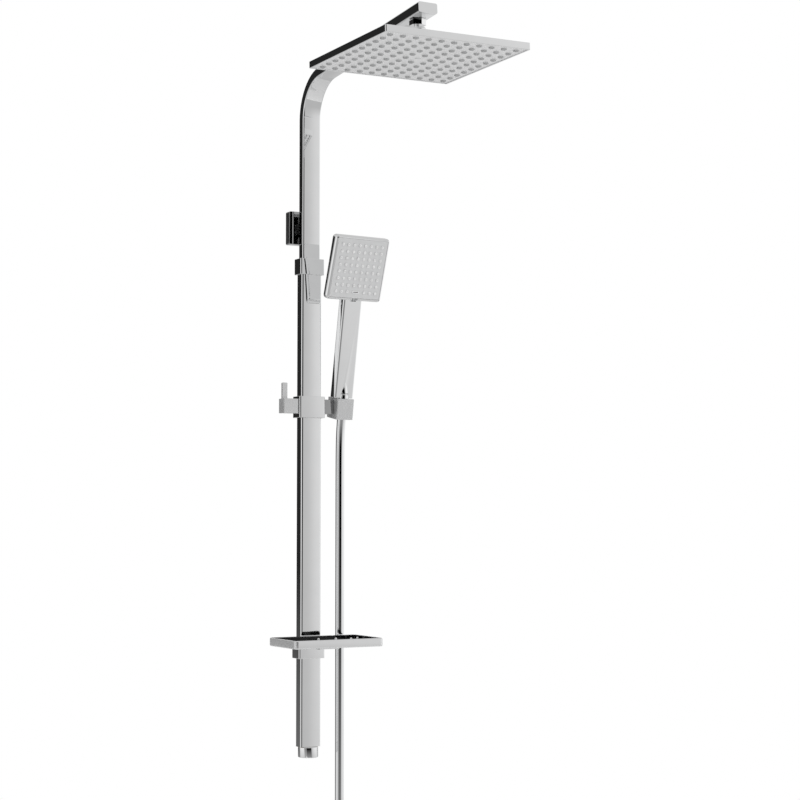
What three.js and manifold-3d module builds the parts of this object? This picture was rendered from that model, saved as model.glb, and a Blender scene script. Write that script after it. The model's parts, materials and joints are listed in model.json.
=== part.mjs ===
// Rainfall shower column: telescopic riser, tilting overhead rose, sliding hand shower, shelf and hose.
// Millimetres, +Z up, +X to the right, the front faces -Y and the wall is the plane Y = 0.
// The origin is the middle of the wall flange's back.
import * as THREE from 'three';
import { mergeVertices } from 'three/addons/utils/BufferGeometryUtils.js';
import Module from 'manifold-3d';

const wasm = await Module();
wasm.setup();

// ---- Driving dimensions ----
const GAP = 0.3; // running clearance between neighbouring pieces
const COLUMN_Y = -35; // the column's axis stands this far off the wall
const SECTION_SEGMENTS = 3;
const ROUND_SEGMENTS = 28;
const GRUB_RADIUS = 2.2;

const FLANGE = { size: 57, thickness: 15, wall: 2.5, plate: 6, screwPitch: 30 };
const NECK = { width: 16, height: 19 };
const UPPER = { width: 33, depth: 17, radius: 2.5, wall: 1.5, crown: 0.6, bottom: -255 };
const BEND = { radius: 71, armRise: THREE.MathUtils.degToRad(4.86), steps: 12 };
const ARM_END = { y: -440, z: 283 }; // middle of the arm's free end
const LOWER = { width: 37.4, depth: 21, radius: 3, wall: 1.4, crown: 0.8, top: -60, bottom: -877.6 };
const COLLAR = { width: 45, depth: 27, radius: 2.5, crown: 0.8, top: -55.5, bottom: -82.5 };
const SLEEVE = { width: 48, depth: 29, radius: 2.5, crown: 0.8, top: -289.8, bottom: -326 };
const LINER_WALL = 1.7;
const CROSSBAR = { y: -34.3, z: -306.6, depth: 20.2, height: 24.7, left: -51.7, right: 42.3 };
const LEVER = { width: 9.6, thickness: 4.5, rise: 27 };
const HOLDER = { x: 58.2, y: -38, z: -307.9, width: 31.2, depth: 37.6, height: 35.6 };
const HOLDER_LEAN = THREE.MathUtils.degToRad(9.8);
// The cup's axis is set forward of the block's middle; its lower end opens into a bell.
const CUP = { back: -6.6, topRadius: 10.3, bottomRadius: 9.3, slot: 16.6, bell: 10, bellRadius: 11.4 };
const HAND = { yaw: THREE.MathUtils.degToRad(6.6), roll: THREE.MathUtils.degToRad(0.8) };
const HANDLE = { width: 37.5, depth: 16.5, back: 4.9, top: 196, radius: 3.4 };
const HAND_HEAD = { x: -1.5, y: -15, z: 221.8, size: 110, plate: 101.6, thickness: 16, bevel: 4.5 };
const HAND_HEAD_LEAN = THREE.MathUtils.degToRad(7.2);
const HAND_NOZZLES = { across: 8, pitch: 11.4, plate: 2.4, sunk: 0.6 };
const ROSE = { y: -408, bottom: 210.2, size: 250, edge: 10.8, wall: 2.4, pitch: 21.8, across: 11 };
const ROSE_TILT = { x: THREE.MathUtils.degToRad(-0.5), y: THREE.MathUtils.degToRad(-0.7) };
const BALL = { z: 247, radius: 10, neck: 5.5 };
const SWIVEL = { radius: 14, top: 258.4, bottom: 227.5 };
const SHELF = { width: 162.2, depth: 101.2, back: -50.7, top: -692.6, height: 13.7, wall: 2.2, floor: 4.6 };
const CLAMP = { top: -695.5, bottom: -730.5 };
const UNION = { radius: 17.2, height: 17.5 };
const HOSE = { diameter: 15, length: 1600, sides: 12, runY: -36.5, step: 36 };
const HANK = { top: -985, bend: 50, run: 150, layerPitch: 15.6, slack: 0.2 };
const HOSE_NUT = { radius: 12, height: 21 };

// ---- Materials ----
function finish(color, metalness, roughness) {
  return new THREE.MeshStandardMaterial({ color, metalness, roughness });
}
const CHROME = finish(0xd6d8da, 1, 0.06);
const NOZZLE_GREY = finish(0xc4c6c8, 0.1, 0.45);
const BRASS = finish(0xb08d45, 1, 0.3);
const STEEL = finish(0xa9abad, 1, 0.35);
const PLASTIC = finish(0x2a2b2d, 0, 0.5);
const RUBBER = finish(0x161616, 0, 0.8);
const HOSE_SKIN = finish(0xd0d2d4, 0.8, 0.18);
const SMOKED = finish(0x17181a, 0.2, 0.1);

const model = new THREE.Group();

function add(name, geometry, material, parent = model) {
  const mesh = new THREE.Mesh(geometry, material);
  mesh.name = name;
  parent.add(mesh);
}

// ---- Solids: closed meshes that can be joined and cut ----
function signedVolume(positions, index) {
  const [a, b, c] = [new THREE.Vector3(), new THREE.Vector3(), new THREE.Vector3()];
  let volume = 0;
  for (let i = 0; i < index.length; i += 3) {
    a.fromArray(positions, 3 * index[i]);
    b.fromArray(positions, 3 * index[i + 1]);
    c.fromArray(positions, 3 * index[i + 2]);
    volume += a.dot(b.cross(c));
  }
  return volume;
}

function solidOf(geometry) {
  const plain = geometry.clone();
  plain.deleteAttribute('normal');
  plain.deleteAttribute('uv');
  const merged = mergeVertices(plain, 1e-4);
  const vertProperties = new Float32Array(merged.attributes.position.array);
  const kept = [];
  const corners = merged.index.array;
  for (let i = 0; i < corners.length; i += 3) {
    const [a, b, c] = [corners[i], corners[i + 1], corners[i + 2]];
    if (a !== b && b !== c && c !== a) kept.push(a, b, c);
  }
  if (signedVolume(vertProperties, kept) < 0) kept.reverse();
  const mesh = new wasm.Mesh({ numProp: 3, vertProperties, triVerts: new Uint32Array(kept) });
  mesh.merge();
  return new wasm.Manifold(mesh);
}

function geometryOf(solid) {
  const mesh = solid.getMesh();
  const geometry = new THREE.BufferGeometry();
  geometry.setAttribute('position', new THREE.BufferAttribute(mesh.vertProperties, 3));
  geometry.setIndex(new THREE.BufferAttribute(mesh.triVerts, 1));
  geometry.computeVertexNormals();
  return geometry;
}

function cut(body, ...tools) {
  return geometryOf(tools.reduce((solid, tool) => solid.subtract(solidOf(tool)), solidOf(body)));
}

function join(body, ...others) {
  return geometryOf(others.reduce((solid, other) => solid.add(solidOf(other)), solidOf(body)));
}

function overlap(body, other) {
  return geometryOf(solidOf(body).intersect(solidOf(other)));
}

// ---- Basic shapes ----
// A rounded rectangle whose front (-Y) side may bulge by `crown`.
function roundedSection(width, depth, radius, crown = 0) {
  const [w, d, front] = [width / 2, depth / 2, -depth / 2 + crown];
  const shape = new THREE.Shape();
  shape.moveTo(-w + radius, front);
  if (crown > 0) shape.quadraticCurveTo(0, front - 2 * crown, w - radius, front);
  shape.absarc(w - radius, front + radius, radius, -Math.PI / 2, 0);
  shape.absarc(w - radius, d - radius, radius, 0, Math.PI / 2);
  shape.absarc(-w + radius, d - radius, radius, Math.PI / 2, Math.PI);
  shape.absarc(-w + radius, front + radius, radius, Math.PI, 1.5 * Math.PI);
  return shape;
}

function hollowSection(outer, inner) {
  const shape = new THREE.Shape(outer.getPoints(SECTION_SEGMENTS));
  shape.holes.push(new THREE.Path(inner.getPoints(SECTION_SEGMENTS)));
  return shape;
}

// The section that slides into a tube: clear of its inside, whose front is also crowned.
function plugSection({ width, depth, wall, crown }) {
  return roundedSection(width - 2 * wall - 2 * GAP, depth - 2 * wall - 2 * GAP - crown / 2, 1.4);
}

function prism(shape, bottom, top, edge = 0) {
  const geometry = new THREE.ExtrudeGeometry(shape, {
    depth: top - bottom - 2 * edge,
    bevelEnabled: edge > 0,
    bevelThickness: edge,
    bevelSize: edge,
    bevelOffset: -edge,
    bevelSegments: 2,
    curveSegments: SECTION_SEGMENTS,
  });
  return geometry.translate(0, 0, bottom + edge);
}

function block(width, depth, height, x, y, z) {
  return new THREE.BoxGeometry(width, depth, height).translate(x, y, z);
}

// A turned piece: the profile's points are [radius, height] and run round the section.
function turned(profile, segments = ROUND_SEGMENTS) {
  const points = profile.map(([radius, height]) => new THREE.Vector2(radius, height));
  points.push(points[0].clone());
  return geometryOf(solidOf(new THREE.LatheGeometry(points, segments).rotateX(Math.PI / 2)));
}

function disc(radius, bottom, top, segments = ROUND_SEGMENTS, topRadius = radius) {
  const geometry = new THREE.CylinderGeometry(topRadius, radius, top - bottom, segments);
  return geometry.rotateX(Math.PI / 2).translate(0, 0, (top + bottom) / 2);
}

function ring(inner, outer, bottom, top, segments = ROUND_SEGMENTS) {
  return turned([[inner, bottom], [outer, bottom], [outer, top], [inner, top]], segments);
}

function alongX(geometry) {
  return geometry.rotateY(Math.PI / 2);
}

function alongY(geometry) {
  return geometry.rotateX(-Math.PI / 2);
}

function countersunkScrew(shank, head, length) {
  const drive = disc(1.6, -1.6, 1, 6);
  const body = turned([[0, -length], [shank, -length], [shank, -head + shank], [head, 0], [0, 0]], 16);
  return cut(body, drive);
}

function grubScrew(length) {
  return cut(disc(GRUB_RADIUS, 0, length, 14), disc(1.1, length - 1.5, length + 1, 6));
}

// ---- Wall fixing ----
function addWallFixing() {
  const { size, thickness, wall, plate, screwPitch } = FLANGE;
  const cover = prism(roundedSection(size, size, 2.5), 0, thickness, 0.8).rotateX(Math.PI / 2);
  const pocket = block(size - 2 * wall, thickness, size - 2 * wall, 0, -thickness / 2 + wall, 0);
  const neckHole = block(NECK.width + 2 * GAP, 30, NECK.height + 2 * GAP, 0, -thickness, 0);
  add('wall_flange', cut(cover, pocket, neckHole), CHROME);

  const inside = size - 2 * wall - 2 * GAP;
  const sink = turned([[0, -0.2], [5, -0.2], [2.4, 2.8], [0, 2.8]], 16);
  const screwHole = alongY(join(disc(2.4, 0, 20, 16), sink));
  const holes = [-1, 1].map((side) => screwHole.clone().translate(side * screwPitch / 2, -plate, 0));
  add('wall_base_plate', cut(block(inside, plate, inside, 0, -plate / 2, 0), ...holes), STEEL);
  ['left', 'right'].forEach((name, i) => {
    const screw = countersunkScrew(2, 4.4, plate - 0.4).rotateX(Math.PI / 2);
    add(`wall_screw_${name}`, screw.translate((i - 0.5) * screwPitch, -plate + 0.1, 0), STEEL);
  });

  const tubeBack = COLUMN_Y + UPPER.depth / 2;
  const neckFront = tubeBack + GAP;
  const neckBack = -plate - GAP;
  const neck = block(NECK.width, neckBack - neckFront, NECK.height, 0, (neckBack + neckFront) / 2, 0);
  const [grubY, neckBottom] = [-10.5, -NECK.height / 2];
  const grubHole = disc(GRUB_RADIUS + GAP, neckBottom - 10, neckBottom + 6.3, 14).translate(0, grubY, 0);
  add('flange_neck', cut(neck, grubHole), CHROME);
  const grub = grubScrew(5).rotateX(Math.PI);
  add('flange_grub_screw', grub.translate(0, grubY, neckBottom + 5.5), STEEL);
}

// ---- Riser tube and arm ----
// The tube's middle line: up, round the bend and out along the arm, with the bend's steps evenly spaced.
class RiserCurve extends THREE.Curve {
  place(u) {
    const step = u * (BEND.steps + 2);
    const turned = THREE.MathUtils.clamp((step - 1) / BEND.steps, 0, 1) * bendAngle;
    const below = Math.max(0, 1 - step) * (bendStart - UPPER.bottom);
    const beyond = Math.max(0, step - BEND.steps - 1) * (armLength - CAP_THICKNESS);
    return { turned, below, beyond };
  }

  getPointAt(u, target = new THREE.Vector3()) {
    const { turned, below, beyond } = this.place(u);
    const y = COLUMN_Y - BEND.radius * (1 - Math.cos(turned)) - beyond * Math.sin(turned);
    const z = bendStart + BEND.radius * Math.sin(turned) + beyond * Math.cos(turned) - below;
    return target.set(0, y, z);
  }

  getTangentAt(u, target = new THREE.Vector3()) {
    const { turned } = this.place(u);
    return target.set(0, -Math.sin(turned), Math.cos(turned));
  }
}

// An extrusion along this line lays a section's X along -Y and its Y along +X: the section is turned first.
function quarterTurned(shape) {
  const turn = (points) => points.map((p) => new THREE.Vector2(-p.y, p.x));
  const result = new THREE.Shape(turn(shape.getPoints(SECTION_SEGMENTS)));
  for (const hole of shape.holes) result.holes.push(new THREE.Path(turn(hole.getPoints(SECTION_SEGMENTS))));
  return result;
}

const bendAngle = Math.PI / 2 - BEND.armRise;
const cornerZ = ARM_END.z - (COLUMN_Y - ARM_END.y) * Math.tan(BEND.armRise);
const bendStart = cornerZ - BEND.radius * Math.tan(bendAngle / 2);
const bendEndY = COLUMN_Y - BEND.radius * (1 - Math.cos(bendAngle));
const bendEndZ = bendStart + BEND.radius * Math.sin(bendAngle);
const armLength = (bendEndY - ARM_END.y) / Math.cos(BEND.armRise);
const CAP_THICKNESS = 3;

function armPrism(section, from, to) {
  return prism(section, from, to).rotateX(bendAngle).translate(0, bendEndY, bendEndZ);
}

// Height of the arm's underside over a point of its run.
function armUnderside(y) {
  return ARM_END.z - (y - ARM_END.y) * Math.tan(BEND.armRise) - UPPER.depth / 2 / Math.cos(BEND.armRise);
}

function addRiser() {
  const { width, depth, radius, wall, crown } = UPPER;
  const outer = roundedSection(width, depth, radius, crown);
  const inner = roundedSection(width - 2 * wall, depth - 2 * wall, radius - 1, crown / 2);
  const section = hollowSection(outer, inner);
  const tube = new THREE.ExtrudeGeometry(quarterTurned(section), {
    steps: BEND.steps + 2,
    extrudePath: new RiserCurve(),
  });
  const outlet = disc(5.6, ARM_END.z - 30, ARM_END.z, 20).translate(0, ROSE.y, 0);
  add('riser_tube', cut(tube, outlet), CHROME);

  const face = armPrism(outer, armLength - CAP_THICKNESS + GAP, armLength);
  const plug = armPrism(plugSection(UPPER), armLength - CAP_THICKNESS - 9, armLength - 1);
  add('arm_end_cap', join(face, plug), CHROME);
}

function addOutlet() {
  const { z, radius, neck } = BALL;
  const top = armUnderside(ROSE.y);
  const collarBottom = z + 15.6;
  const ball = new THREE.SphereGeometry(radius, 24, 14).rotateX(Math.PI / 2).translate(0, 0, z);
  const stem = disc(neck, z, collarBottom + 1, 20);
  const collar = disc(13, collarBottom, top + 6, 6);
  const spigot = disc(5.2, collarBottom, top + 7, 20);
  const keepOff = armPrism(roundedSection(UPPER.width + 2 * GAP, UPPER.depth + 2 * GAP, 2.5), 0, armLength);
  const collarCut = cut(collar.translate(0, ROSE.y, 0), keepOff);
  const bore = disc(3, z - 20, top + 20, 16).translate(0, ROSE.y, 0);
  const parts = [ball, stem, spigot].map((geometry) => geometry.translate(0, ROSE.y, 0));
  add('arm_outlet_ball', cut(join(collarCut, ...parts), bore), CHROME);
}

// ---- Sliding joint between the two tubes ----
function addTelescopeGland() {
  const { bottom } = UPPER;
  const plug = prism(plugSection(UPPER), bottom - 2, bottom + 12);
  const footW = LOWER.width - 2 * LOWER.wall - 2 * GAP - 1;
  const footD = LOWER.depth - 2 * LOWER.wall - 2 * GAP - 2;
  const foot = prism(roundedSection(footW, footD, 2), bottom - 16, bottom - GAP);
  const waterway = disc(4, bottom - 30, bottom + 30, 16);
  let gland = cut(join(plug, foot), waterway);
  const sealLevels = { upper: bottom - 5, lower: bottom - 11 };
  for (const [name, level] of Object.entries(sealLevels)) {
    const outer = roundedSection(footW + 1, footD + 1, 2);
    const inner = roundedSection(footW - 2, footD - 2, 1.4);
    const seal = prism(hollowSection(outer, inner), level - 1.1, level + 1.1);
    const grooveRoot = roundedSection(footW - 2 - 2 * GAP, footD - 2 - 2 * GAP, 1.4);
    const groove = hollowSection(roundedSection(80, 80, 1), grooveRoot);
    gland = cut(gland, prism(groove, level - 1.1 - GAP, level + 1.1 + GAP));
    add(`gland_seal_${name}`, seal.translate(0, COLUMN_Y, 0), RUBBER);
  }
  add('telescope_gland', gland.translate(0, COLUMN_Y, 0), BRASS);
}

// ---- Overhead rose: everything hangs on the ball and shares its small droop ----
function addRose() {
  const pivot = new THREE.Group();
  pivot.position.set(0, ROSE.y, BALL.z);
  pivot.rotation.set(ROSE_TILT.x, ROSE_TILT.y, 0);
  model.add(pivot);
  const bottom = ROSE.bottom - BALL.z;
  const top = bottom + ROSE.edge;
  addSwivel(pivot, top);
  addRoseShell(pivot, bottom, top);
  addNozzleField(pivot, bottom);
}

function addSwivel(pivot, shellTop) {
  const [top, bottom] = [SWIVEL.top - BALL.z, SWIVEL.bottom - BALL.z];
  const cavity = BALL.radius + GAP + 0.1;
  const skirt = new THREE.SphereGeometry(cavity, 24, 14).rotateX(Math.PI / 2);
  const mouth = disc(7.2, 7.4, top + 1, 24, 10.6);
  const chamber = disc(cavity, bottom - 1, 0, 24);
  const nut = join(disc(SWIVEL.radius, bottom, top - 3, 32), disc(SWIVEL.radius, top - 3, top, 32, 12.6));
  add('rose_swivel_nut', cut(nut, skirt, mouth, chamber), CHROME, pivot);

  const ballTool = new THREE.SphereGeometry(BALL.radius + GAP, 24, 14).rotateX(Math.PI / 2);
  const cup = cut(ring(3.2, 8, -12, -8, 24), ballTool);
  const screenRadius = cavity - GAP;
  add('rose_ball_cup', cup, PLASTIC, pivot);
  add('rose_ball_washer', ring(3.2, 7, -14.9, -13.3, 24), RUBBER, pivot);
  add('rose_filter_screen', disc(screenRadius, -16.8, -15.2, 24), STEEL, pivot);
  add('rose_swivel_seat', ring(4, screenRadius, shellTop + 3.4, -17.1, 24), BRASS, pivot);
}

function addRoseShell(pivot, bottom, top) {
  const { size, edge, wall } = ROSE;
  const outer = prism(roundedSection(size, size, 2), bottom, top, 0.6);
  const pocket = block(size - 2 * wall, size - 2 * wall, edge, 0, 0, top - 2.2 - edge / 2);
  const boss = disc(30, top - 1, top + 3, 36, 27);
  const inlet = disc(4, top - 20, top + 20, 20);
  add('rose_shell', cut(join(outer, boss), pocket, inlet), CHROME, pivot);
  const inside = size - 2 * wall - 2 * GAP;
  const gasketHole = roundedSection(inside - 8, inside - 8, 1);
  const gasket = hollowSection(roundedSection(inside, inside, 1), gasketHole);
  add('rose_gasket', prism(gasket, top - 4.2, top - 2.2 - GAP), RUBBER, pivot);
  const chamber = block(inside, inside, 1.6, 0, 0, top - 4.2 - GAP - 0.8);
  add('rose_backing_plate', cut(chamber, disc(2.2 + GAP, top - 20, top, 12)), STEEL, pivot);
}

function nozzleSpots(across, pitch, skip) {
  const spots = [];
  const middle = (across - 1) / 2;
  for (let row = 0; row < across; row += 1) {
    for (let column = 0; column < across; column += 1) {
      if (!skip(row, column)) spots.push([(column - middle) * pitch, (row - middle) * pitch]);
    }
  }
  return spots;
}

// A plate with short cones on its underside, as one moulding.
function nozzlePlate(size, thickness, spots, cone) {
  const plate = solidOf(block(size, size, thickness, 0, 0, thickness / 2));
  const nibs = spots.map(([x, y]) => {
    const nib = new THREE.CylinderGeometry(cone.base, cone.tip, cone.length + 0.4, 6);
    return solidOf(nib.rotateX(Math.PI / 2).translate(x, y, 0.4 - (cone.length + 0.4) / 2));
  });
  return geometryOf(wasm.Manifold.union([plate, ...nibs]));
}

function addNozzleField(pivot, bottom) {
  const middle = (ROSE.across - 1) / 2;
  const spots = nozzleSpots(ROSE.across, ROSE.pitch, (row, column) => row === middle && column === middle);
  const size = ROSE.size - 2 * ROSE.wall - 2 * GAP;
  const field = nozzlePlate(size, 3, spots, { base: 3.6, tip: 2.6, length: 0.9 });
  const hole = disc(2.2 + GAP, -5, 5, 12);
  add('rose_nozzle_plate', cut(field, hole).translate(0, 0, bottom + 1), NOZZLE_GREY, pivot);
  const screw = turned([[0, -1.4], [4.4, -1.4], [4.4, -GAP], [2.2, -GAP], [2.2, 4], [0, 4]], 16);
  add('rose_centre_screw', screw.translate(0, 0, bottom + 1), STEEL, pivot);
}

// ---- Lower column ----
function columnRing(part, boreWidth, boreDepth, top, bottom, edge) {
  const outer = prism(roundedSection(part.width, part.depth, part.radius, part.crown), bottom, top, edge);
  const bore = prism(roundedSection(boreWidth, boreDepth, 2.5), bottom - 1, top + 1);
  return cut(outer, bore).translate(0, COLUMN_Y, 0);
}

function addLowerColumn() {
  const { width, depth, radius, wall, crown, top, bottom } = LOWER;
  const outer = roundedSection(width, depth, radius, crown);
  const inner = roundedSection(width - 2 * wall, depth - 2 * wall, radius - wall, crown / 2);
  add('lower_column', prism(hollowSection(outer, inner), bottom, top).translate(0, COLUMN_Y, 0), CHROME);
  addCollar();
}

// The collar sits on the lower tube's mouth; its narrower throat lets only the upper tube through.
function addCollar() {
  const { width, depth, top } = LOWER;
  const outer = roundedSection(COLLAR.width, COLLAR.depth, COLLAR.radius, COLLAR.crown);
  const whole = prism(outer, COLLAR.bottom, COLLAR.top, 0.6);
  const socketSection = roundedSection(width + 2 * GAP, depth + 2 * GAP, 2.5);
  const socket = prism(socketSection, COLLAR.bottom - 1, top + GAP);
  const throatSection = roundedSection(UPPER.width + 4 * GAP, UPPER.depth + 4 * GAP, UPPER.radius);
  const throat = prism(throatSection, top - 1, COLLAR.top + 1);
  const collar = cut(whole, socket, throat).translate(0, COLUMN_Y, 0);
  const grubZ = (COLLAR.top + COLLAR.bottom) / 2;
  add('column_collar', cut(collar, grubHoleAtBack(grubZ)), CHROME);
  const grubStart = COLUMN_Y + depth / 2 + GAP + 0.2;
  add('collar_grub_screw', alongY(grubScrew(1.6)).translate(0, grubStart, grubZ), STEEL);
}

// A hole from the lower tube's back face out to the wall side.
function grubHoleAtBack(z) {
  return alongY(disc(GRUB_RADIUS + GAP, 0, 40, 14)).translate(0, COLUMN_Y + LOWER.depth / 2, z);
}

function addColumnEnd() {
  const { bottom } = LOWER;
  const insert = prism(plugSection(LOWER), bottom, bottom + 22);
  const tail = disc(9, bottom - 11, bottom + 1, 24);
  const lip = disc(10.6, bottom - 11, bottom - 9.5, 24);
  const waterway = disc(6, bottom - 30, bottom + 40, 20);
  add('column_end_insert', cut(join(insert, tail, lip), waterway).translate(0, COLUMN_Y, 0), BRASS);

  const { radius, height } = UNION;
  const top = bottom - GAP;
  const rim = [[radius - 1, -height], [radius, -height + 1], [radius, -1], [radius - 1, 0]];
  const shell = turned([[0, -height], ...rim, [0, 0]]);
  const threadBore = disc(11.4, -height - 1, -8.8, 28);
  const tailBore = disc(9.4, -20, 1, 28);
  const nut = cut(shell, threadBore, tailBore);
  add('column_union_nut', nut.translate(0, COLUMN_Y, top), CHROME);
  const washer = ring(6.2, 11, bottom - 13.4, bottom - 11 - GAP, 24);
  add('union_washer', washer.translate(0, COLUMN_Y, 0), RUBBER);
}

// ---- Slider with its lock lever ----
// What slides on the column: its bore, and the section of the plastic liner between.
function slidingFit() {
  const clearance = 2 * (GAP + LINER_WALL + GAP);
  const bore = { width: LOWER.width + clearance, depth: LOWER.depth + clearance };
  const liner = hollowSection(
    roundedSection(bore.width - 2 * GAP, bore.depth - 2 * GAP, 2.5),
    roundedSection(LOWER.width + 2 * GAP, LOWER.depth + 2 * GAP, LOWER.radius),
  );
  return { bore, liner };
}

function addSlider() {
  const { bore, liner } = slidingFit();
  const { top, bottom } = SLEEVE;
  const axisHole = alongX(disc(4 + GAP, -60, 60, 20)).translate(0, CROSSBAR.y, CROSSBAR.z);
  add('slider_sleeve', cut(columnRing(SLEEVE, bore.width, bore.depth, top, bottom, 0.7), axisHole), CHROME);
  const linerSolid = prism(liner, bottom + 1.5, top - 1.5).translate(0, COLUMN_Y, 0);
  const window = alongX(disc(4 + GAP, -60, 60, 20)).translate(0, CROSSBAR.y, CROSSBAR.z);
  add('slider_liner', cut(linerSolid, window), PLASTIC);

  const side = SLEEVE.width / 2 + GAP;
  const barLength = CROSSBAR.right - side;
  const barSection = roundedSection(CROSSBAR.height, CROSSBAR.depth, 1.2);
  const bar = alongX(prism(barSection, 0, barLength - GAP, 0.3)).translate(side, CROSSBAR.y, CROSSBAR.z);
  const boltHole = alongX(disc(3.4, -10, 60, 16)).translate(0, CROSSBAR.y, CROSSBAR.z);
  add('holder_arm', cut(bar, boltHole), CHROME);

  const hubLength = -side - CROSSBAR.left;
  const hub = alongX(prism(barSection, 0, hubLength, 0.8)).translate(CROSSBAR.left, CROSSBAR.y, CROSSBAR.z);
  const spindleHole = alongX(disc(3.4, -hubLength + 6, 40, 16)).translate(-side, CROSSBAR.y, CROSSBAR.z);
  const leverX = CROSSBAR.left + LEVER.width / 2 + 0.7;
  const slotTop = CROSSBAR.z + CROSSBAR.height / 2;
  const slot = block(LEVER.width + 2 * GAP, LEVER.thickness + 2 * GAP, 12, leverX, CROSSBAR.y, slotTop);
  add('lock_hub', cut(hub, spindleHole, slot), CHROME);
  const leverSection = roundedSection(LEVER.width, LEVER.rise + 5, 1.6);
  const lever = prism(leverSection, -LEVER.thickness / 2, LEVER.thickness / 2, 0.5).rotateX(Math.PI / 2);
  const leverZ = slotTop - 5 + (LEVER.rise + 5) / 2;
  add('lock_lever', lever.translate(leverX, CROSSBAR.y, leverZ), CHROME);

  const columnSide = LOWER.width / 2 + GAP;
  const pad = alongX(disc(4, 0, 2.6, 20)).translate(-columnSide - 2.6, CROSSBAR.y, CROSSBAR.z);
  add('brake_pad', pad, RUBBER);
  const spindleEnd = -columnSide - 2.6 - GAP;
  const spindleStart = -side - hubLength + 6.5;
  const spindle = alongX(disc(3, 0, spindleEnd - spindleStart, 16));
  add('lock_spindle', spindle.translate(spindleStart, CROSSBAR.y, CROSSBAR.z), STEEL);
}

// ---- Holder block, leaning with the hand shower ----
function leaning(parentPosition) {
  const group = new THREE.Group();
  group.position.copy(parentPosition);
  group.rotation.set(HOLDER_LEAN, 0, 0);
  model.add(group);
  return group;
}

const holderMiddle = new THREE.Vector3(HOLDER.x, HOLDER.y, HOLDER.z);
const leanAxis = new THREE.Vector3(0, -Math.sin(HOLDER_LEAN), Math.cos(HOLDER_LEAN));
const leanBack = new THREE.Vector3(0, Math.cos(HOLDER_LEAN), Math.sin(HOLDER_LEAN));
// Middle of the cup's mouth.
const cupMouth = holderMiddle.clone()
  .addScaledVector(leanBack, CUP.back)
  .addScaledVector(leanAxis, HOLDER.height / 2);

function addHolder() {
  const { width, depth, height } = HOLDER;
  const group = leaning(holderMiddle);
  const body = prism(roundedSection(width, depth, 1.4), -height / 2, height / 2, 0.7);
  const cup = disc(CUP.bottomRadius, -height / 2, height / 2, 28, CUP.topRadius).translate(0, CUP.back, 0);
  const mouth = disc(CUP.topRadius, height / 2 - 0.1, height / 2 + 2, 28).translate(0, CUP.back, 0);
  const bell = disc(CUP.bellRadius, -height / 2 - 0.01, -height / 2 + CUP.bell, 28, CUP.bottomRadius);
  const foot = disc(CUP.bellRadius, -height / 2 - 2, -height / 2, 28);
  const under = join(bell, foot).translate(0, CUP.back, 0);
  const slot = block(width, CUP.slot, height + 4, width / 2, CUP.back, 0);
  const axis = holderMiddle.clone().negate().add(new THREE.Vector3(0, CROSSBAR.y, CROSSBAR.z));
  const pivot = new THREE.Vector3(0, axis.dot(leanBack), axis.dot(leanAxis));
  const boltHole = alongX(disc(3 + GAP, -width / 2 - 1, -width / 2 + 4, 16)).translate(0, pivot.y, pivot.z);
  add('holder_block', cut(body, cup, mouth, under, slot, boltHole), CHROME, group);
  const start = LOWER.width / 2 + GAP + 2.6;
  const end = HOLDER.x - width / 2 + 3.6;
  const bolt = alongX(disc(3, 0, end - start, 16)).translate(start, CROSSBAR.y, CROSSBAR.z);
  add('holder_pivot_bolt', bolt, STEEL);
}

// ---- Hose cone nut ----
function addConeNut() {
  const group = leaning(cupMouth);
  const slope = (CUP.topRadius - CUP.bottomRadius) / HOLDER.height;
  const outer = (z) => CUP.topRadius - GAP - 0.1 + slope * z;
  const profile = [
    [8.6, 0], [outer(0), 0], [outer(-34), -34], [7.9, -34],
    [7.9, -24], [4.6, -22.5], [4.6, -17], [8.6, -16],
  ];
  add('hose_cone_nut', turned(profile), CHROME, group);
  add('cone_nut_washer', ring(3.4, 8.2, -16 + GAP, -13.6, 20), RUBBER, group);
}

// ---- Hand shower: modelled upright, with its inlet on the Z axis ----
function addHandShower() {
  const group = leaning(cupMouth);
  group.rotation.set(HOLDER_LEAN, HAND.roll, HAND.yaw);
  const headGroup = new THREE.Group();
  headGroup.position.set(HAND_HEAD.x, HAND_HEAD.y, HAND_HEAD.z);
  headGroup.rotation.set(HAND_HEAD_LEAN, 0, 0);
  group.add(headGroup);
  addHandBody(group, headGroup);
  addHandFace(headGroup);
  addHandWaterway(group);
}

function addHandBody(group, headGroup) {
  const { size, plate, thickness, bevel } = HAND_HEAD;
  const slab = alongY(prism(roundedSection(size, size, 6), 0, thickness, bevel));
  const pocket = block(plate, 9, plate, 0, 4.4, 0);
  const head = cut(slab, pocket);
  headGroup.updateMatrix();
  head.applyMatrix4(headGroup.matrix);
  const { width, depth, back, top, radius } = HANDLE;
  const grip = prism(roundedSection(width, depth, radius), GAP, top, 1.2).translate(0, back, 0);
  const boss = disc(9.3, GAP, 27, 28, 3.4);
  const keepOff = block(plate, 60, plate, 0, -30 + 8.9, 0);
  keepOff.applyMatrix4(headGroup.matrix);
  const bore = disc(5.4, -1, 176, 18).translate(0, back, 0);
  const chamberPort = block(10.8, 18, 10, 0, back - 7, 171);
  const socket = disc(8, -1, 9, 24);
  const body = join(head, cut(join(grip, boss), keepOff));
  add('hand_shower_body', cut(body, bore, chamberPort, socket), CHROME, group);
}

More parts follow.
